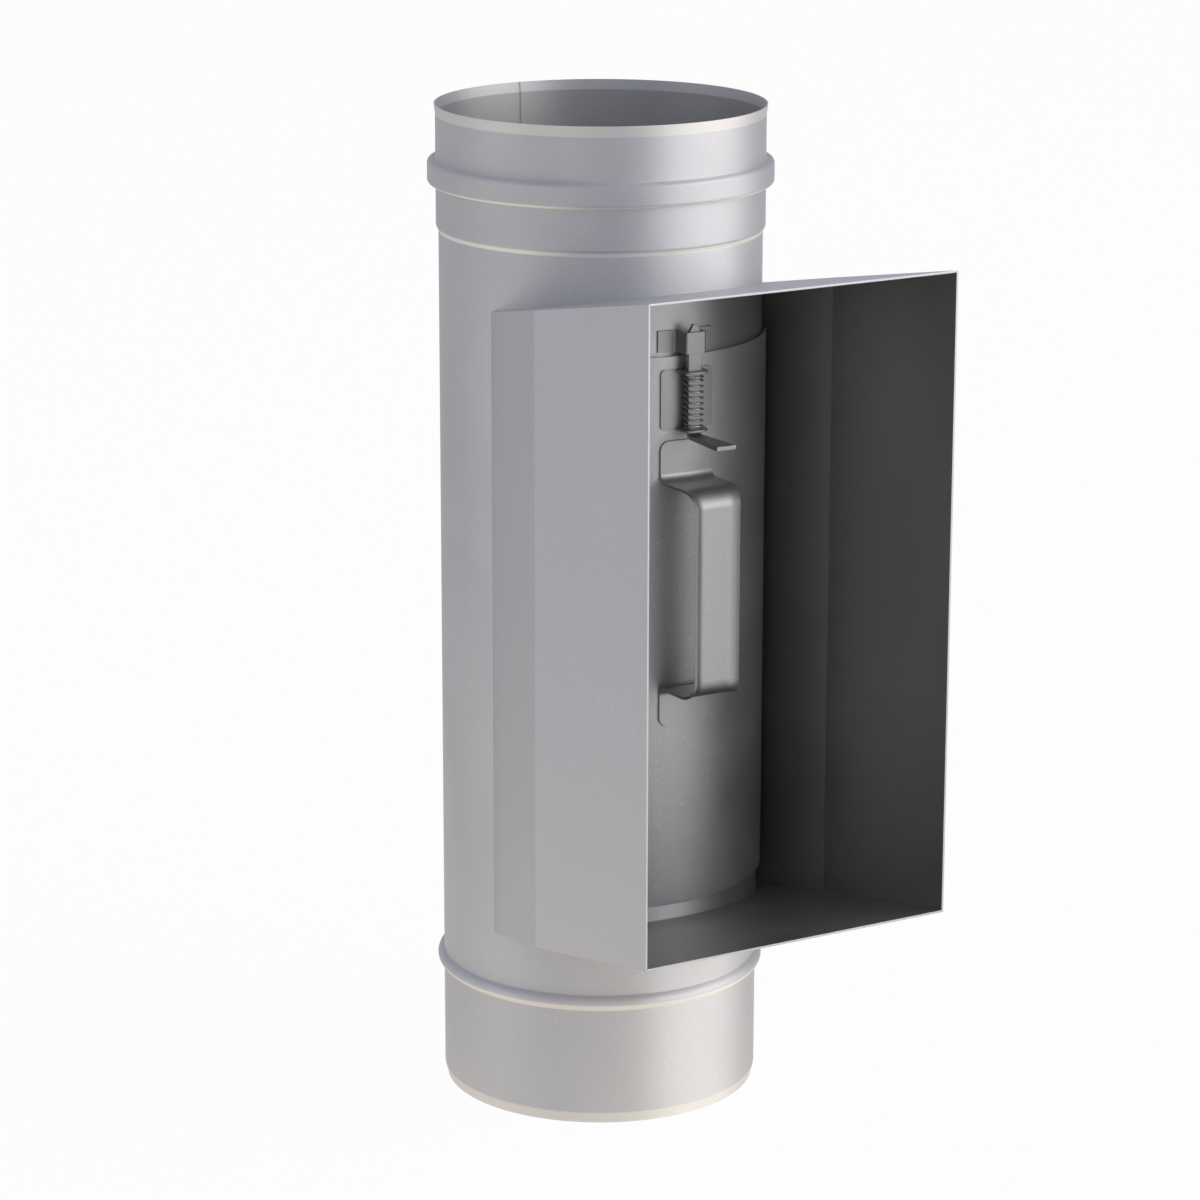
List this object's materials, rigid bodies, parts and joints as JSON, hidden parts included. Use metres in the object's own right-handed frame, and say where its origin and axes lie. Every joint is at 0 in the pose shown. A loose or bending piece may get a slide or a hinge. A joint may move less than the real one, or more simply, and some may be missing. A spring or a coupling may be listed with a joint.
{
  "type": "flue inspection section",
  "caption": "Round flue tube with spigot and socket, an inspection opening under a latched curved cover, and a sheet box that gives access to it through a wall.",
  "frame": {"origin": "on the flue's axis, in the plane where the stop bead sits on the pipe below", "axes": "+Z along the flue towards the socket, -Y out of the access box, +X to the right seen from the box's open front"},
  "size_m": [0.1614, 0.2564, 0.4754],
  "materials": {
    "stainless_sheet": "satin",
    "box_sheet": "matt",
    "fittings_steel": "satin",
    "spring_steel": "drawn wire",
    "gasket_fibre": "matt"
  },
  "bodies": {
    "flue": {"flue_tube": "stainless_sheet", "box_left_wall": "box_sheet", "box_right_wall": "box_sheet", "box_top_plate": "box_sheet", "box_bottom_plate": "box_sheet", "cover_sheet": "stainless_sheet", "cover_gasket": "gasket_fibre", "cover_hook_left": "fittings_steel", "cover_hook_right": "fittings_steel", "keeper_strap": "fittings_steel", "latch_bracket": "fittings_steel", "latch_spring": "spring_steel", "carry_handle": "fittings_steel"},
    "bolt": {"latch_bolt": "fittings_steel"}
  },
  "joints": [
    {"name": "bolt_slide", "type": "slide", "parent": "flue", "child": "bolt", "axis": [0, 0, -1], "range_m": [0, 0.014], "stiffness_N_per_m": 2900, "springref_m": -0.003, "deforming": ["latch_spring"]}
  ]
}
